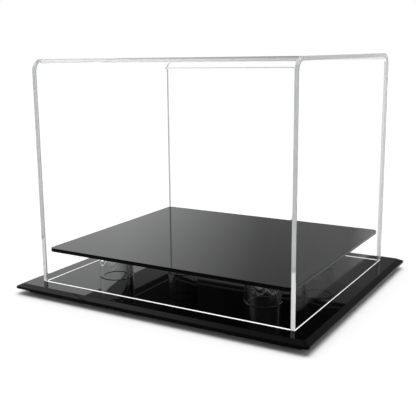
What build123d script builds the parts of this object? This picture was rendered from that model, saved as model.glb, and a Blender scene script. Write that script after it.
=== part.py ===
from build123d import *
import os

# Cap display case: a clear five-sided cover that lifts off a black bevelled base,
# with a black riser platform inside, carried on four short clear tubes.
# Frame: X along the long side, front face towards -Y, Z up, origin on the resting
# surface under the middle of the base. All sizes are in millimetres.

os.makedirs("parts", exist_ok=True)

# Cover
cover_width = 224.0
cover_depth = 193.0
cover_height = 181.0
sheet_thickness = 3.0
bend_inside_radius = 7.0
end_panel_arris = 0.35

# Base plate and plinth
base_margin = 16.5
base_plate_thickness = 4.0
base_corner_radius = 2.5
bevel_run = 4.5
bevel_drop = 2.2
bevel_corner_radius = 1.5
plinth_thickness = 4.0
plinth_inset = 7.0
plinth_corner_radius = 3.0

# Feet
foot_diameter = 10.0
foot_height = 1.5
foot_edge_chamfer = 0.5
foot_inset = 14.0

# Riser
platform_clearance = 1.8
platform_thickness = 3.0
platform_corner_radius = 4.0
platform_arris = 0.4
post_height = 25.4
post_diameter = 28.6
post_wall = 3.0
post_inset = 39.0

# Plan sizes worked out from the cover and the named margins
base_width = cover_width + 2 * base_margin
base_depth = cover_depth + 2 * base_margin
plinth_width = base_width - 2 * plinth_inset
plinth_depth = base_depth - 2 * plinth_inset
wrap_length = cover_width - 2 * sheet_thickness
inside_depth = cover_depth - 2 * sheet_thickness
platform_width = wrap_length - 2 * platform_clearance
platform_depth = inside_depth - 2 * platform_clearance

# Heights of the stacked pieces above the resting surface
plinth_floor = foot_height
plate_floor = plinth_floor + plinth_thickness
plate_top = plate_floor + base_plate_thickness
platform_floor = plate_top + post_height

# The four corners that the posts and the feet repeat on
corners = {
    "front_left": (-1, -1),
    "front_right": (1, -1),
    "back_left": (-1, 1),
    "back_right": (1, 1),
}


# Outline of the cover seen from its end
def arch_face(depth, height, radius):
    """A rectangle standing on its bottom edge, with its two top corners rounded."""
    upright = Rectangle(depth, height, align=(Align.CENTER, Align.MIN))
    top_corners = upright.vertices().group_by(Axis.Y)[-1]
    return fillet(top_corners, radius)


def cover_outline():
    """The outside of the cover's end: the bend's outside is its inside plus the sheet."""
    return arch_face(cover_depth, cover_height, bend_inside_radius + sheet_thickness)


# Cover: one sheet heated along two lines and folded into front, top and back
def make_cover_wrap():
    inside = arch_face(inside_depth, cover_height - sheet_thickness, bend_inside_radius)
    section = cover_outline() - inside
    wrap = extrude(Plane.YZ * section, amount=wrap_length / 2, both=True)
    return Pos(0, 0, plate_top) * wrap


# Cover: a flat end panel bonded over each cut end of the folded sheet
def make_end_panel(side):
    panel = extrude(Plane.YZ * cover_outline(), amount=sheet_thickness)
    outer_face = panel.faces().sort_by(Axis.X)[-1]
    polished_edges = outer_face.edges().sort_by(Axis.Z)[1:]
    panel = chamfer(polished_edges, end_panel_arris)
    panel = Pos(wrap_length / 2, 0, plate_top) * panel
    if side < 0:
        panel = mirror(panel, about=Plane.YZ)
    return panel


# Base: top plate with a polished bevel that runs round all four sides
def make_base_plate():
    outline = RectangleRounded(base_width, base_depth, base_corner_radius)
    flat_width = base_width - 2 * bevel_run
    flat_depth = base_depth - 2 * bevel_run
    flat_top = RectangleRounded(flat_width, flat_depth, bevel_corner_radius)
    bevel_floor = plate_top - bevel_drop
    edge_band = extrude(Pos(0, 0, plate_floor) * outline, amount=bevel_floor - plate_floor)
    bevel = loft([Pos(0, 0, bevel_floor) * outline, Pos(0, 0, plate_top) * flat_top], ruled=True)
    return edge_band + bevel


# Base: a smaller plate underneath, set back so that the top plate overhangs it
def make_base_plinth():
    outline = RectangleRounded(plinth_width, plinth_depth, plinth_corner_radius)
    return extrude(Pos(0, 0, plinth_floor) * outline, amount=plinth_thickness)


# Feet: low round rubber pads under the plinth's corners
def make_foot(x_sign, y_sign):
    pad = Cylinder(foot_diameter / 2, foot_height, align=(Align.CENTER, Align.CENTER, Align.MIN))
    pad = chamfer(pad.edges().sort_by(Axis.Z)[0], foot_edge_chamfer)
    x = x_sign * (plinth_width / 2 - foot_inset)
    y = y_sign * (plinth_depth / 2 - foot_inset)
    return Pos(x, y, 0) * pad


# Riser: the platform fills the cover's inside and so keeps the cover in its place
def make_riser_platform():
    outline = RectangleRounded(platform_width, platform_depth, platform_corner_radius)
    slab = extrude(Pos(0, 0, platform_floor) * outline, amount=platform_thickness)
    top_edges = slab.faces().sort_by(Axis.Z)[-1].edges()
    bottom_edges = slab.faces().sort_by(Axis.Z)[0].edges()
    return chamfer(top_edges + bottom_edges, platform_arris)


# Riser: a short length of clear tube stands square under each corner
def make_riser_post(x_sign, y_sign):
    outside = Circle(post_diameter / 2)
    bore = Circle(post_diameter / 2 - post_wall)
    x = x_sign * (platform_width / 2 - post_inset)
    y = y_sign * (platform_depth / 2 - post_inset)
    return extrude(Pos(x, y, plate_top) * (outside - bore), amount=post_height)


nodes = {
    "cover_wrap": make_cover_wrap(),
    "cover_left_panel": make_end_panel(-1),
    "cover_right_panel": make_end_panel(1),
    "base_plate": make_base_plate(),
    "base_plinth": make_base_plinth(),
    "riser_platform": make_riser_platform(),
}
for corner, signs in corners.items():
    nodes["riser_post_" + corner] = make_riser_post(*signs)
    nodes["foot_" + corner] = make_foot(*signs)

for name, shape in nodes.items():
    export_step(shape, f"parts/{name}.step")
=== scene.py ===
# %% [markdown]
# This lesson dresses a cap display case: a clear cover that lifts off a gloss black base, with a
# black platform inside on four short clear tubes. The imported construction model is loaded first
# and never changed. Everything made here takes its size and place from it, in metres.

# %% Load the construction model
import bmesh
import bpy
import math
from mathutils import Matrix, Vector


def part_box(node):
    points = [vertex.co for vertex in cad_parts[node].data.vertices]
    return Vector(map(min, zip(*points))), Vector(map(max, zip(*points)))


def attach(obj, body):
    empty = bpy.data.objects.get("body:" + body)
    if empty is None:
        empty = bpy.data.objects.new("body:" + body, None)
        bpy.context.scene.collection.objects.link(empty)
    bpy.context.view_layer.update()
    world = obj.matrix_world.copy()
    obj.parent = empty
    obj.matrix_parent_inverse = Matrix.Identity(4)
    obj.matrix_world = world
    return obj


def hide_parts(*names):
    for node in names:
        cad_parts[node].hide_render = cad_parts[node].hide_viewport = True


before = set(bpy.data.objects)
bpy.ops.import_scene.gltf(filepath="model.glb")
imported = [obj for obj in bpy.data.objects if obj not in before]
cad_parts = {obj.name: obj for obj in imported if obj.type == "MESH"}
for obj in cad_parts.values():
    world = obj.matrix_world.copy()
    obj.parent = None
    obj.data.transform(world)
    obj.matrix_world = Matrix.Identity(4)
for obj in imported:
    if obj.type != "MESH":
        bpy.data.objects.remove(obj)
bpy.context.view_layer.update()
print("construction pieces:", sorted(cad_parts))

# %% [markdown]
# A lens and a viewpoint decide the likeness before any surface does. The camera stands just above
# the level of the cover's top, turned so that the long front and one end both show, and tipped
# down, so that the top sheet is seen edge on. It could be set with two guessed angles, but a
# measured position with its three angles puts every corner within a few pixels of its place. A new
# camera looks straight down, so tipping it up comes before turning it.

# %% Camera
FRAME_PIXELS = 416
FOCAL_PIXELS = 720.0
SENSOR_WIDTH = 36.0
camera_place = Vector((0.2898, -0.5213, 0.1939))
camera_azimuth = math.radians(31.89)
camera_pitch = math.radians(11.556)
camera_roll = math.radians(-0.921)
shift_pixels = (24.9, -8.5)

camera_data = bpy.data.cameras.new("camera")
camera_data.sensor_width = SENSOR_WIDTH
camera_data.lens = SENSOR_WIDTH * FOCAL_PIXELS / FRAME_PIXELS
camera_data.shift_x = shift_pixels[0] / FRAME_PIXELS
camera_data.shift_y = shift_pixels[1] / FRAME_PIXELS
camera = bpy.data.objects.new("camera", camera_data)
bpy.context.scene.collection.objects.link(camera)
tip_up = Matrix.Rotation(math.pi / 2 - camera_pitch, 4, "X")
aim = Matrix.Rotation(camera_azimuth, 4, "Z") @ tip_up
camera.matrix_world = Matrix.Translation(camera_place) @ aim @ Matrix.Rotation(camera_roll, 4, "Z")
bpy.context.scene.camera = camera
print("lens", round(camera_data.lens, 1), "mm")

# %% [markdown]
# Places and overall sizes are read from the construction model's boxes. A box has no radii, walls
# or bevels, so those are written out here, as the construction has them. The rest are fine details
# that it leaves out. One is the rounding that a flame leaves on an edge. Without it an edge catches
# no light, and the piece looks drawn, not made. Another is the hair-wide air gap in a bonded seam,
# which keeps two clear pieces from sharing a face.

# %% Sizes
wrap_low, wrap_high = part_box("cover_wrap")
panel_low, panel_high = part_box("cover_right_panel")
sheet = panel_high.x - panel_low.x
bend_inside = 0.007
bend_outside = bend_inside + sheet
flame_rounding = 0.00035
seam_gap = 0.00006
print("sheet", round(sheet * 1000, 2), "mm, bend outside", round(bend_outside * 1000, 2), "mm")

# %% [markdown]
# Modelling here is box modelling with operators: a primitive, a few edit-mode steps, then
# modifiers that are applied. An operator acts on whatever is selected, so a piece is always
# started with nothing else selected, and its place and size go into its mesh at once.

# %% Start a piece
def name_and_settle(name):
    """Names the new primitive and moves its place and size into its mesh."""
    piece = bpy.context.object
    piece.name = piece.data.name = name
    bpy.ops.object.transform_apply(location=True, rotation=True, scale=True)
    return piece


def start_box(name, low, high):
    """Adds a cube stretched between two corners."""
    bpy.ops.object.select_all(action="DESELECT")
    low, high = Vector(low), Vector(high)
    bpy.ops.mesh.primitive_cube_add(size=1, location=(low + high) / 2, scale=high - low)
    return name_and_settle(name)


def start_round(name, low, high, sides, ends):
    """Adds an upright cylinder between two corners, open or closed at its ends."""
    bpy.ops.object.select_all(action="DESELECT")
    bpy.ops.mesh.primitive_cylinder_add(
        vertices=sides, radius=(high.x - low.x) / 2, depth=high.z - low.z,
        end_fill_type=ends, location=(low + high) / 2,
    )
    return name_and_settle(name)


print("a piece starts as a box or a cylinder")

# %% [markdown]
# By hand, one would click the edges to work on. In code they are found by where they lie and which
# way they run, so the same step still works after a size changes.

# %% Select parts of a piece
CLOSE = 0.0001
STRAIGHT = 0.9
SELECT_MODES = {"faces": "FACE", "edges": "EDGE", "verts": "VERT"}


def pick(piece, kind, test):
    """In edit mode, selects only the faces, edges or verts that pass a test."""
    bpy.ops.object.mode_set(mode="EDIT")
    bpy.ops.mesh.select_mode(type=SELECT_MODES[kind])
    bpy.ops.mesh.select_all(action="DESELECT")
    shape = bmesh.from_edit_mesh(piece.data)
    for item in getattr(shape, kind):
        if test(item):
            item.select_set(True)
    bmesh.update_edit_mesh(piece.data)


def middle(edge):
    """The point halfway along an edge."""
    return (edge.verts[0].co + edge.verts[1].co) / 2


def runs_along(edge, axis):
    """True for an edge that runs along x, y or z."""
    along = (edge.verts[1].co - edge.verts[0].co).normalized()
    return abs(getattr(along, axis)) > STRAIGHT


def leave_edit():
    """Goes back to object mode."""
    bpy.ops.object.mode_set(mode="OBJECT")


print("a part lies on a level within", CLOSE * 1000, "mm and points along an axis from", STRAIGHT)

# %% [markdown]
# Smooth shading alone would bend the light in a large flat face, because it blends the face's
# normal with the rounding next to it, and in clear plastic that shows at once. A weighted-normal
# modifier gives the large faces their true direction back and leaves the blend to the roundings.

# %% Finish a piece
def add_modifier(piece, kind, **settings):
    """Adds a modifier with its settings and applies it."""
    modifier = piece.modifiers.new(kind.lower(), kind)
    for setting, value in settings.items():
        setattr(modifier, setting, value)
    bpy.context.view_layer.objects.active = piece
    bpy.ops.object.modifier_apply(modifier=modifier.name)


def round_edges(piece, width, segments, degrees):
    """Rounds every edge sharper than an angle, as polishing does."""
    add_modifier(
        piece, "BEVEL", width=width, segments=segments, limit_method="ANGLE",
        angle_limit=math.radians(degrees), harden_normals=False,
    )


def smooth(piece, degrees=35):
    """Smooth shading that breaks at real edges and leaves flat faces truly flat."""
    bpy.ops.object.select_all(action="DESELECT")
    piece.select_set(True)
    bpy.context.view_layer.objects.active = piece
    bpy.ops.object.shade_smooth_by_angle(angle=math.radians(degrees))
    add_modifier(piece, "WEIGHTED_NORMAL", mode="FACE_AREA", weight=100, keep_sharp=True)


print("a piece ends with rounded edges and smooth shading")

# %% [markdown]
# What repeats on the real case is cut to one pattern, so it is modelled once. A copy gets its own
# mesh, which is moved by the distance between the two construction pieces, so that the copy's
# object still sits at the origin.

# %% Copy a piece
corner_names = ["front_left", "front_right", "back_left", "back_right"]


def copy_to(piece, name, from_node, to_node):
    """Copies a piece from one construction piece's place to another's."""
    twin = piece.copy()
    twin.data = piece.data.copy()
    twin.name = twin.data.name = name
    twin.data.transform(Matrix.Translation(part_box(to_node)[0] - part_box(from_node)[0]))
    bpy.context.scene.collection.objects.link(twin)
    return twin


def copies_at_corners(first, name_start, node_start):
    """Puts copies of the front left piece at the other three corners."""
    first_node = node_start + corner_names[0]
    pieces = {first_node: first}
    for corner in corner_names[1:]:
        node = node_start + corner
        pieces[node] = copy_to(first, name_start + corner, first_node, node)
    return pieces


print("corners:", ", ".join(corner_names))

# %% [markdown]
# The cover's front, top and back are one sheet of clear acrylic, heated along two lines and folded.
# It could be three boxes, but the folds would then be sharp and the sheet would not run on round
# them. So a box loses its floor and ends, its two long top edges are rounded to the fold's outside
# radius, and the skin is thickened inwards by one sheet, which makes the inside of each fold
# concentric with its outside, as heat bending does. A cut near each end marks how far the cement of
# the joint has run, so that this strip can have its own finish.

# %% Folded wrap
cement_width = 0.002
half_length = wrap_high.x - seam_gap
cement_edge = half_length - cement_width
wrap = start_box(
    "folded_wrap",
    (-half_length, wrap_low.y, wrap_low.z + seam_gap),
    (half_length, wrap_high.y, wrap_high.z),
)
pick(wrap, "faces", lambda f: f.normal.z < -STRAIGHT or abs(f.normal.x) > STRAIGHT)
bpy.ops.mesh.delete(type="FACE")
pick(wrap, "edges", lambda e: runs_along(e, "x") and middle(e).z > wrap_high.z - CLOSE)
bpy.ops.mesh.bevel(offset=bend_outside, segments=16, affect="EDGES")
leave_edit()
add_modifier(wrap, "SOLIDIFY", thickness=sheet, offset=-1, use_even_offset=True)
round_edges(wrap, flame_rounding, segments=2, degrees=50)
for side in (-1, 1):
    pick(wrap, "faces", lambda f: True)
    bpy.ops.mesh.bisect(plane_co=(side * cement_edge, 0, 0), plane_no=(1, 0, 0))
leave_edit()
smooth(wrap)
print("folded wrap", len(wrap.data.polygons), "faces")

# %% [markdown]
# Each end is a flat panel of the same sheet, sawn to the wrap's outline and bonded over its cut
# edges. A plain box would stick out past the folds as a sharp corner. So its two top corners get the
# wrap's own outside radius, and no step shows. The left panel is a copy of the right one.

# %% End panels
right_panel = start_box("right_end_panel", panel_low + Vector((0, 0, seam_gap)), panel_high)
pick(right_panel, "edges", lambda e: runs_along(e, "x") and middle(e).z > panel_high.z - CLOSE)
bpy.ops.mesh.bevel(offset=bend_outside, segments=16, affect="EDGES")
leave_edit()
round_edges(right_panel, flame_rounding, segments=2, degrees=50)
smooth(right_panel)
left_panel = copy_to(right_panel, "left_end_panel", "cover_right_panel", "cover_left_panel")
end_panels = {"cover_left_panel": left_panel, "cover_right_panel": right_panel}
print("end panels", [len(p.data.polygons) for p in end_panels.values()], "faces")

# %% [markdown]
# The base plate's polished bevel runs round all four sides and meets in a mitre at each corner. An
# edge bevel with equal sides would be wrong, because the real one is about twice as wide as it is
# deep. So the top face is inset by the bevel's width and the old rim is pushed down by its depth,
# and then the four corners, mitres included, are eased.

# %% Base plate
bevel_run = 0.0045
bevel_drop = 0.0022
corner_ease = 0.0022
buffed_rounding = 0.0003
plate_low, plate_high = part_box("base_plate")


def is_old_rim(vert):
    """True for the four points that stay outside when the top face is inset."""
    return vert.co.z > plate_high.z - CLOSE and abs(vert.co.x) > plate_high.x - CLOSE


def is_corner(edge):
    """True for the upright corners and the mitres above them."""
    near_x = abs(middle(edge).x) > plate_high.x - bevel_run
    near_y = abs(middle(edge).y) > plate_high.y - bevel_run
    return near_x and near_y and not runs_along(edge, "x") and not runs_along(edge, "y")


base_plate = start_box("bevelled_base_plate", plate_low, plate_high)
pick(base_plate, "faces", lambda f: f.normal.z > STRAIGHT)
bpy.ops.mesh.inset(thickness=bevel_run)
pick(base_plate, "verts", is_old_rim)
bpy.ops.transform.translate(value=(0, 0, -bevel_drop))
pick(base_plate, "edges", is_corner)
bpy.ops.mesh.bevel(offset=corner_ease, segments=5, affect="EDGES")
leave_edit()
round_edges(base_plate, buffed_rounding, segments=2, degrees=15)
smooth(base_plate, degrees=12)
print("base plate", len(base_plate.data.polygons), "faces")

# %% [markdown]
# The plinth and the platform are flat plates with rounded corners and buffed rims. One bevel round
# all their edges would give corners and rims the same radius. So one function rounds the upright
# corners first and the rims last, each by its own radius.

# %% Flat plates
def make_flat_plate(name, node, corner_radius, rim):
    """A plate with round corners in plan and softly rounded rims."""
    plate = start_box(name, *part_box(node))
    pick(plate, "edges", lambda e: runs_along(e, "z"))
    bpy.ops.mesh.bevel(offset=corner_radius, segments=8, affect="EDGES")
    leave_edit()
    round_edges(plate, rim, segments=3, degrees=40)
    smooth(plate, degrees=30)
    return plate


plinth = make_flat_plate(
    "base_lower_plate", "base_plinth", corner_radius=0.003, rim=buffed_rounding,
)
platform = make_flat_plate(
    "riser_platform_plate", "riser_platform", corner_radius=0.004, rim=0.0004,
)
print("plates", len(plinth.data.polygons), len(platform.data.polygons), "faces")

# %% [markdown]
# The platform stands on four short lengths of clear tube. A solid rod would turn the view behind it
# round; a tube only draws two pale strips at its sides and a thin ring at its foot. An open
# cylinder that is thickened inwards gives both walls at once.

# %% Tube posts
post_wall = 0.003
sawn_end_rounding = 0.00015
bond_gap = Vector((0, 0, seam_gap))
post_low, post_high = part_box("riser_post_front_left")
first_post = start_round(
    "clear_tube_front_left", post_low + bond_gap, post_high - bond_gap, sides=96, ends="NOTHING",
)
add_modifier(first_post, "SOLIDIFY", thickness=post_wall, offset=-1, use_even_offset=True)
round_edges(first_post, sawn_end_rounding, segments=2, degrees=50)
smooth(first_post)
posts = copies_at_corners(first_post, "clear_tube_", "riser_post_")
print("posts", [len(p.data.polygons) for p in posts.values()], "faces")

# %% [markdown]
# Rubber pads under the plinth keep the case from sliding and its polish off the shelf. A plain disc
# would end in a sharp line, where a moulded pad is soft. So its lower rim is rolled, and only that
# one, because the upper rim lies against the plinth.

# %% Rubber feet
rolled_rim = 0.0005
foot_low, foot_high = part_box("foot_front_left")
first_foot = start_round("rubber_foot_front_left", foot_low, foot_high, sides=48, ends="NGON")
pick(first_foot, "edges", lambda e: middle(e).z < foot_low.z + CLOSE)
bpy.ops.mesh.bevel(offset=rolled_rim, segments=4, affect="EDGES")
leave_edit()
smooth(first_foot, degrees=40)
feet = copies_at_corners(first_foot, "rubber_foot_", "foot_")
print("feet", [len(p.data.polygons) for p in feet.values()], "faces")

# %% [markdown]
# A material's sums could be laid out as Math nodes one by one, each with its own links. They are
# easier to read as sums. So a small class wraps a shader socket, and an expression such as
# 1 - mask adds its own nodes.

# %% Shader maths
class Signal:
    """An output socket of a node, with arithmetic that adds Math nodes."""

    def __init__(self, recipe, socket):
        self.recipe = recipe
        self.socket = socket

    def _math(self, operation, first, second):
        return self.recipe.node("ShaderNodeMath", {"operation": operation}, {0: first, 1: second})

    def __add__(self, other):
        return self._math("ADD", self, other)

    def __radd__(self, other):
        return self._math("ADD", other, self)

    def __sub__(self, other):
        return self._math("SUBTRACT", self, other)

    def __rsub__(self, other):
        return self._math("SUBTRACT", other, self)

    def __mul__(self, other):
        return self._math("MULTIPLY", self, other)

    def __rmul__(self, other):
        return self._math("MULTIPLY", other, self)


print("signals add, subtract and multiply")

# %% [markdown]
# A recipe holds one material's or world's node tree. One method adds any node: its settings come
# first, because a ramp's stops or a Math node's operation decide what its sockets mean, and then
# its sockets get values or links.

# %% Recipes
class Recipe:
    """A material or world being written: its node tree and one way to add a node."""

    def __init__(self, owner):
        owner.use_nodes = True
        self.owner = owner
        self.tree = owner.node_tree
        self.tree.nodes.clear()

    def node(self, kind, settings=None, inputs=None, output=0):
        """Adds a node, sets it up, then gives its sockets values or links."""
        made = self.tree.nodes.new(kind)
        for setting, value in (settings or {}).items():
            if setting == "stops":
                self.set_stops(made.color_ramp, value)
            else:
                setattr(made, setting, value)
        for socket, value in (inputs or {}).items():
            if isinstance(value, Signal):
                self.tree.links.new(value.socket, made.inputs[socket])
            else:
                made.inputs[socket].default_value = value
        return Signal(self, made.outputs[output])

    @staticmethod
    def set_stops(ramp, stops):
        """Places a ramp's stops, each a position and a grey level."""
        while len(ramp.elements) < len(stops):
            ramp.elements.new(0.5)
        for element, (position, level) in zip(ramp.elements, stops):
            element.position = position
            element.color = (level, level, level, 1)

    def place(self, scale=(1, 1, 1)):
        """The surface's own coordinates, stretched by a scale."""
        spot = self.node("ShaderNodeTexCoord", output="Object")
        return self.node("ShaderNodeMapping", {}, {"Vector": spot, "Scale": scale})

    def noise(self, where, scale, detail=2.0, roughness=0.5):
        """Soft random patches from 0 to 1, of a size in cells per metre."""
        return self.node("ShaderNodeTexNoise", {}, {
            "Vector": where, "Scale": scale, "Detail": detail, "Roughness": roughness,
        })

    def ramp(self, value, stops):
        """Reshapes a number by grey stops."""
        return self.node("ShaderNodeValToRGB", {"stops": stops}, {"Fac": value})

    def bump(self, height, distance, strength):
        """Turns a height into a tilted normal."""
        return self.node("ShaderNodeBump", {}, {
            "Height": height, "Distance": distance, "Strength": strength,
        })

    def ray(self, question):
        """What kind of ray is asking, or how often it has bounced."""
        return self.node("ShaderNodeLightPath", output=question)

    def finish(self, shader):
        """Connects the finished shader."""
        of_world = isinstance(self.owner, bpy.types.World)
        kind = "ShaderNodeOutputWorld" if of_world else "ShaderNodeOutputMaterial"
        made = self.tree.nodes.new(kind)
        self.tree.links.new(shader.socket, made.inputs["Surface"])
        return self.owner


def new_material(name):
    """An empty material recipe."""
    return Recipe(bpy.data.materials.new(name))


print("recipes add any node, with its settings and its links")

# %% [markdown]
# Clear acrylic bends light a little less than glass does. One glass node would also mirror four
# percent of everything, head on, which veils the black pieces behind it. So bending and mirroring
# are two nodes, mixed by the Fresnel share, and a ramp holds that share down until the view
# grazes the sheet. The tubes keep the full share, because their pale side strips come from it.
# Very faint wiping marks live in the roughness.

# %% Clear acrylic
ACRYLIC_IOR = 1.49
QUIET_SHINE = [(0.0, 0.0), (0.06, 0.0), (0.2, 0.018), (0.36, 0.3), (0.6, 0.65), (0.95, 1.0)]
FULL_SHINE = [(0.0, 0.0), (1.0, 1.0)]


def clear_acrylic(name, stretch, roughest, shine_stops):
    """Clear plastic: bends light and mirrors it by its own share at each angle."""
    recipe = new_material(name)
    streaks = recipe.noise(recipe.place(stretch), scale=14, detail=4, roughness=0.55)
    roughness = recipe.ramp(streaks, [(0.5, 0.0), (0.8, roughest)])
    bend = recipe.node("ShaderNodeBsdfRefraction", {}, {
        "Color": (0.998, 1, 1, 1), "Roughness": roughness, "IOR": ACRYLIC_IOR,
    })
    mirror = recipe.node("ShaderNodeBsdfGlossy", {}, {
        "Color": (1, 1, 1, 1), "Roughness": roughness,
    })
    grazing = recipe.node("ShaderNodeFresnel", {}, {"IOR": ACRYLIC_IOR})
    shine = recipe.ramp(grazing, shine_stops)
    return recipe.finish(recipe.node("ShaderNodeMixShader", {}, {0: shine, 1: bend, 2: mirror}))


clear_face = clear_acrylic(
    "clear_acrylic_sheet", stretch=(1, 1, 6), roughest=0.02, shine_stops=QUIET_SHINE,
)
clear_tube = clear_acrylic(
    "clear_acrylic_tube", stretch=(1, 1, 4), roughest=0.03, shine_stops=FULL_SHINE,
)
print("clear finishes:", clear_face.name, clear_tube.name)

# %% [markdown]
# A heat-bent fold, a flame-polished edge and a run of cement are the same plastic, a little milky.
# Light that travels along inside a sheet ends on them, so they are what draws the cover's outline.
# Perfectly clear ones would show a chopped-up picture of the black base instead. A Principled
# shader that is part clear and part matt grey gives the soft, even line. Its grey is painted light
# and shade: it stands in for the tone that light carried inside the sheet gives these edges, on
# top of the slight haze.

# %% Hazy acrylic with painted grey
def hazy_acrylic_with_painted_grey(name, stretch, colour, clearness, smoothest, roughest):
    """Clear plastic left a little milky by a heater, a flame or cement, with painted grey shading.
    """
    recipe = new_material(name)
    streaks = recipe.noise(recipe.place(stretch), scale=40, detail=4, roughness=0.55)
    return recipe.finish(recipe.node("ShaderNodeBsdfPrincipled", {}, {
        # The base colour is painted light and shade: a grey for the tone that light inside the sheet
        # gives these edges.
        "Base Color": colour,
        "Roughness": recipe.ramp(streaks, [(0.35, smoothest), (0.75, roughest)]),
        "IOR": ACRYLIC_IOR,
        "Transmission Weight": clearness,
    }))


clear_fold = hazy_acrylic_with_painted_grey(
    "heat_bent_fold", stretch=(0.1, 1, 1), colour=(0.86, 0.87, 0.875, 1),
    clearness=0.72, smoothest=0.0, roughest=0.01,
)
clear_edge = hazy_acrylic_with_painted_grey(
    "flame_polished_edge", stretch=(8, 8, 1), colour=(0.62, 0.635, 0.64, 1),
    clearness=0.5, smoothest=0.08, roughest=0.16,
)
cement_line = hazy_acrylic_with_painted_grey(
    "cement_run_in_corner", stretch=(9, 9, 1), colour=(0.60, 0.61, 0.61, 1),
    clearness=0.5, smoothest=0.05, roughest=0.20,
)
print("hazy finishes:", clear_fold.name, clear_edge.name, cement_line.name)

# %% [markdown]
# The cover's lower edge is left as the saw made it. It is matt and white, and light that travels
# down inside the sheet lights it up, which draws the bright line round the foot of the cover.
# Following that light would take many more samples, so a little light of its own stands in for it.
# The saw leaves fine upright teeth marks, which a stretched noise gives.

# %% Sawn edge
sawn = new_material("sawn_acrylic_edge")
saw_marks = sawn.noise(sawn.place((1, 1, 0.05)), scale=2200)
sawn_edge = sawn.finish(sawn.node("ShaderNodeBsdfPrincipled", {}, {
    "Base Color": (0.95, 0.96, 0.96, 1),
    "Roughness": sawn.ramp(saw_marks, [(0.3, 0.55), (0.7, 0.8)]),
    "IOR": ACRYLIC_IOR,
    "Emission Color": (1, 1, 1, 1),
    "Emission Strength": 0.45,
    "Normal": sawn.bump(saw_marks, distance=0.0001, strength=0.5),
}))
print("sawn finish:", sawn_edge.name)

# %% [markdown]
# Where the end panels are bonded over the sheet's cut ends, solvent has softened both and left a
# thin frosted layer with tiny bubbles. Modelled bubbles would be too small to see one by one, so a
# fine noise varies the layer's tone and roughness instead.

# %% Bonded seam
bonded = new_material("bonded_seam")
bubbles = bonded.noise(bonded.place(), scale=900, detail=3, roughness=0.6)
bonded_seam = bonded.finish(bonded.node("ShaderNodeBsdfPrincipled", {}, {
    "Base Color": bonded.ramp(bubbles, [(0.3, 0.6), (0.7, 0.78)]),
    "Roughness": bonded.ramp(bubbles, [(0.3, 0.3), (0.7, 0.55)]),
    "IOR": ACRYLIC_IOR,
}))
print("seam finish:", bonded_seam.name)

# %% [markdown]
# The black pieces are the same plastic with black pigment. Their colour is almost nothing; what
# shows is the gloss, so the care goes into the roughness: nearly a mirror on the faces, with very
# faint polishing clouds and hairlines. With the same gloss, the buffed edges would draw pale lines
# round each plate, so they are duller and have less shine.

# %% Black acrylic
def black_acrylic(name, smoothest, roughest, ripple, shine_level):
    """Opaque black sheet with a gloss that varies slightly over the surface."""
    recipe = new_material(name)
    clouds = recipe.noise(recipe.place(), scale=9, detail=5, roughness=0.6)
    fine = recipe.noise(recipe.place((1, 7, 1)), scale=160, detail=3, roughness=0.6)
    level = recipe.ramp(clouds, [(0.35, smoothest), (0.75, roughest)])
    hairlines = recipe.ramp(fine, [(0.68, 0.0), (0.8, 0.02)])
    waves = recipe.noise(recipe.place(), scale=30)
    return recipe.finish(recipe.node("ShaderNodeBsdfPrincipled", {}, {
        "Base Color": (0.0012, 0.0012, 0.0014, 1),
        "Specular Tint": (0.3, 0.3, 0.3, 1),
        "Specular IOR Level": shine_level,
        "Roughness": level + hairlines,
        "IOR": ACRYLIC_IOR,
        "Normal": recipe.bump(waves, distance=ripple, strength=0.3),
    }))


black_face = black_acrylic(
    "black_acrylic_face", smoothest=0.015, roughest=0.05, ripple=0.00003, shine_level=0.5,
)
black_edge = black_acrylic(
    "black_acrylic_buffed_edge", smoothest=0.12, roughest=0.20, ripple=0.0001, shine_level=0.06,
)
print("black finishes:", black_face.name, black_edge.name)

# %% [markdown]
# The tubes' end faces are bonded to black plates. A clear ring there would glow white, so it gets
# the dull dark look of cement against black, a little uneven where it has spread.

# %% Bond under the tubes
tube_bond = new_material("black_bond_under_tube")
bond_spread = tube_bond.noise(tube_bond.place(), scale=700, detail=3)
bond_finish = tube_bond.finish(tube_bond.node("ShaderNodeBsdfPrincipled", {}, {
    "Base Color": tube_bond.ramp(bond_spread, [(0.3, 0.001), (0.75, 0.012)]),
    "Roughness": 0.6,
    "Specular IOR Level": 0.0,
}))
print("bond finish:", bond_finish.name)

# %% [markdown]
# The feet are matt black rubber. They could wear a rougher black plastic, but rubber is greyer and
# has no mirror in it, only a fine grain that breaks up the light. So it is a material of its own.

# %% Rubber
rubber = new_material("foot_rubber")
grain = rubber.noise(rubber.place(), scale=2600, detail=3)
rubber_pad = rubber.finish(rubber.node("ShaderNodeBsdfPrincipled", {}, {
    "Base Color": (0.022, 0.022, 0.023, 1),
    "Roughness": rubber.ramp(grain, [(0.3, 0.6), (0.7, 0.85)]),
    "Normal": rubber.bump(grain, distance=0.0001, strength=0.4),
}))
print("rubber finish:", rubber_pad.name)

# %% [markdown]
# A piece can wear more than one finish. By hand, faces would be selected and given a material each.
# Here a rule sorts them by where they point and lie, so that a sheet gets clear faces, hazy edges
# with painted grey and one sawn edge, and the rule still holds after a size changes.

# %% Rules for the finishes
FACING = 0.7
sawn_band = 0.0005
cover_floor = wrap_low.z + sawn_band


def is_sawn(face):
    """True for the cover's lowest faces."""
    return face.normal.z < -FACING and face.center.z < cover_floor


def is_cement(face):
    """True for the strips where cement has run along the inside of the back sheet."""
    inside_back = face.normal.y < -STRAIGHT and face.center.y > 0
    return inside_back and abs(face.center.x) > cement_edge


def is_bent(face):
    """True for the upper part of each fold, which reaches further down at the back."""
    tilted = abs(face.normal.y) > 0.04
    least_upward = 0.85 if face.center.y < 0 else 0.7
    return tilted and abs(face.normal.z) > least_upward


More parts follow.
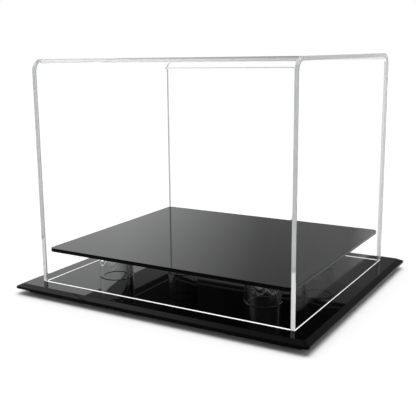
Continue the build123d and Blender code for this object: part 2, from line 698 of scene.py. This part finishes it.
def wrap_finish(face):
    """Sawn below, frosted on its cut ends, hazy with painted grey on cement and folds, clear
    elsewhere.
    """
    if is_sawn(face):
        return sawn_edge
    if abs(face.normal.x) > FACING:
        return bonded_seam
    if is_cement(face):
        return cement_line
    return clear_fold if is_bent(face) else clear_face


def panel_finish(face):
    """Sawn below, clear on the two big faces, hazy with painted grey on the rim, a little clearer on
    its top.
    """
    if is_sawn(face):
        return sawn_edge
    if abs(face.normal.x) > FACING:
        return clear_face
    on_top = face.normal.z > 0.5
    return clear_fold if on_top else clear_edge


def post_finish(face):
    """Clear walls, and the bond on both end faces."""
    return bond_finish if abs(face.normal.z) > FACING else clear_tube


def black_finish(face):
    """Mirror gloss on the flat sides and on the shallow bevel, buffed on the upright edges."""
    nearly_level = abs(face.normal.z) > 0.8
    return black_face if nearly_level else black_edge


print("rules for wrap, panels, posts and plates ready")

# %% [markdown]
# The rules are now used on every piece. Each piece could carry all finishes, but then its list
# would say nothing. So it gets only those that its faces wear.

# %% Dress the pieces
def dress(pieces, finish_for):
    """Puts on each face of some pieces the finish that a rule picks for it."""
    for piece in pieces:
        worn = piece.data.materials
        worn.clear()
        for face in piece.data.polygons:
            finish = finish_for(face)
            if finish.name not in worn:
                worn.append(finish)
            face.material_index = worn.find(finish.name)
        print(piece.name, "wears", ", ".join(worn.keys()))


dress([wrap], wrap_finish)
dress(end_panels.values(), panel_finish)
dress(posts.values(), post_finish)
dress([base_plate, plinth, platform], black_finish)
dress(feet.values(), lambda face: rubber_pad)

# %% [markdown]
# Each piece now rides on the body that it belongs to and stands for its construction piece. The
# clear ones let lamp light and bounced light through, since a renderer would otherwise shade the
# floor behind clear plastic as if it were solid.

# %% Ride and replace
def hand_over(piece, body, slot, *stood_for):
    """Ties a finished piece to its body and hides the construction piece it stands for; the slot is
    not used.
    """
    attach(piece, body)
    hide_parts(*stood_for)


hand_over(wrap, "cover", "clear_acrylic", "cover_wrap")
for node, panel in end_panels.items():
    hand_over(panel, "cover", "clear_acrylic", node)
hand_over(base_plate, "base", "black_acrylic", "base_plate")
hand_over(plinth, "base", "black_acrylic", "base_plinth")
hand_over(platform, "base", "black_acrylic", "riser_platform")
for node, post in posts.items():
    hand_over(post, "base", "clear_tube", node)
for node, foot in feet.items():
    hand_over(foot, "base", "rubber_pad", node)

clear_pieces = [wrap, *end_panels.values(), *posts.values()]
for piece in clear_pieces:
    piece.visible_shadow = False
    piece.visible_diffuse = False
print(len(clear_pieces), "clear pieces let light through")

# %% [markdown]
# The floor is pale paper. Were it one white for everything, light that bounces off it would make
# the case too bright from below. So the camera, mirrors and clear plastic see it pure white, like a
# studio sweep, while bounced light sees it a shade darker. Both are plain matt finishes, so the
# floor keeps the case's shadow.

# %% Floor
floor_side = 12
gap_under_feet = 0.0001
bpy.ops.object.select_all(action="DESELECT")
bpy.ops.mesh.primitive_plane_add(size=floor_side, location=(0, 0, -gap_under_feet))
floor = bpy.context.object
floor.name = "floor"
paper = new_material("pale_floor")
seen = paper.ray("Is Camera Ray") + paper.ray("Is Glossy Ray")
seen = seen + paper.ray("Is Transmission Ray")
seen_white = paper.node("ShaderNodeBsdfDiffuse", {}, {"Color": (1, 1, 1, 1)})
lit_white = paper.node("ShaderNodeBsdfDiffuse", {}, {"Color": (0.8, 0.8, 0.8, 1)})
mixed = paper.node("ShaderNodeMixShader", {}, {0: seen, 1: lit_white, 2: seen_white})
floor.data.materials.append(paper.finish(mixed))
print("floor", floor_side, "m wide")

# %% [markdown]
# An even white sky would do for matt things, but gloss black shows only what surrounds it. So the
# sky is three skies. Seen straight, or through clear plastic, it is white. Mirrored, it is a
# studio: a large soft lamp box on the left, a dim room on the right and a white band along the
# horizon, which grades the black tops from grey on the left to near black on the right. And what
# lights matt things is dim at the horizon and grows upwards.

# %% Sky
world = bpy.data.worlds.new("white_sky")
bpy.context.scene.world = world
sky = Recipe(world)
look = sky.node("ShaderNodeTexCoord", output="Generated")
leftward = 0 - sky.node("ShaderNodeSeparateXYZ", {}, {"Vector": look}, output="X")
height = sky.node("ShaderNodeSeparateXYZ", {}, {"Vector": look}, output="Z")
softbox = sky.ramp(leftward, [(0.2, 0.14), (0.42, 0.3), (0.58, 0.92), (1.0, 0.92)])
horizon_band = sky.ramp(height, [(0.05, 1.0), (0.15, 0.0)])
mirrored = softbox + horizon_band * (1 - softbox)
lighting = height * 0.6 + 0.1
bounces = sky.ray("Glossy Depth")
reflected = sky.node("ShaderNodeMath", {"operation": "MINIMUM"}, {0: bounces, 1: 1.0})
tone = 1 + reflected * (mirrored - 1)
tone = tone + sky.ray("Is Diffuse Ray") * (lighting - tone)
sky.finish(sky.node("ShaderNodeBackground", {}, {"Color": (1, 1, 1, 1), "Strength": tone}))
print("sky of", len(sky.tree.nodes), "nodes")

# %% [markdown]
# One lamp shapes the shadow. A small lamp would draw it with a hard edge. So this is a sun as wide
# as an overhead soft box, tipped a little, and the shadow is dark only close under the base and
# fades outwards. Mirrors and clear plastic don't see it, because the soft lamp box in the sky
# stands for it there.

# %% Soft lamp
lamp_data = bpy.data.lights.new("soft_overhead", "SUN")
lamp_data.angle = math.radians(45)
lamp_data.energy = 1.75
lamp = bpy.data.objects.new("soft_overhead", lamp_data)
lamp.visible_glossy = False
lamp.visible_transmission = False
tip_back = Matrix.Rotation(math.radians(14), 4, "X")
tip_aside = Matrix.Rotation(math.radians(10), 4, "Y")
lamp.matrix_world = tip_back @ tip_aside
bpy.context.scene.collection.objects.link(lamp)
print("lamp", round(math.degrees(lamp_data.angle)), "degrees wide")

# %% [markdown]
# Standard colour handling keeps written colours as they are. Light that runs along inside a clear
# panel meets its faces some twenty times, so the path limits are raised, or the edges turn black.
# A path that a black surface has dimmed is normally dropped at random to save time, which leaves
# grain in dark gloss behind clear plastic, so the first bounces are always followed.

# %% Colour and light paths
scene = bpy.context.scene
scene.view_settings.view_transform = "Standard"
scene.cycles.min_light_bounces = 12
scene.cycles.max_bounces = 40
scene.cycles.glossy_bounces = 36
scene.cycles.transmission_bounces = 40
print("light paths of up to", scene.cycles.max_bounces, "bounces")
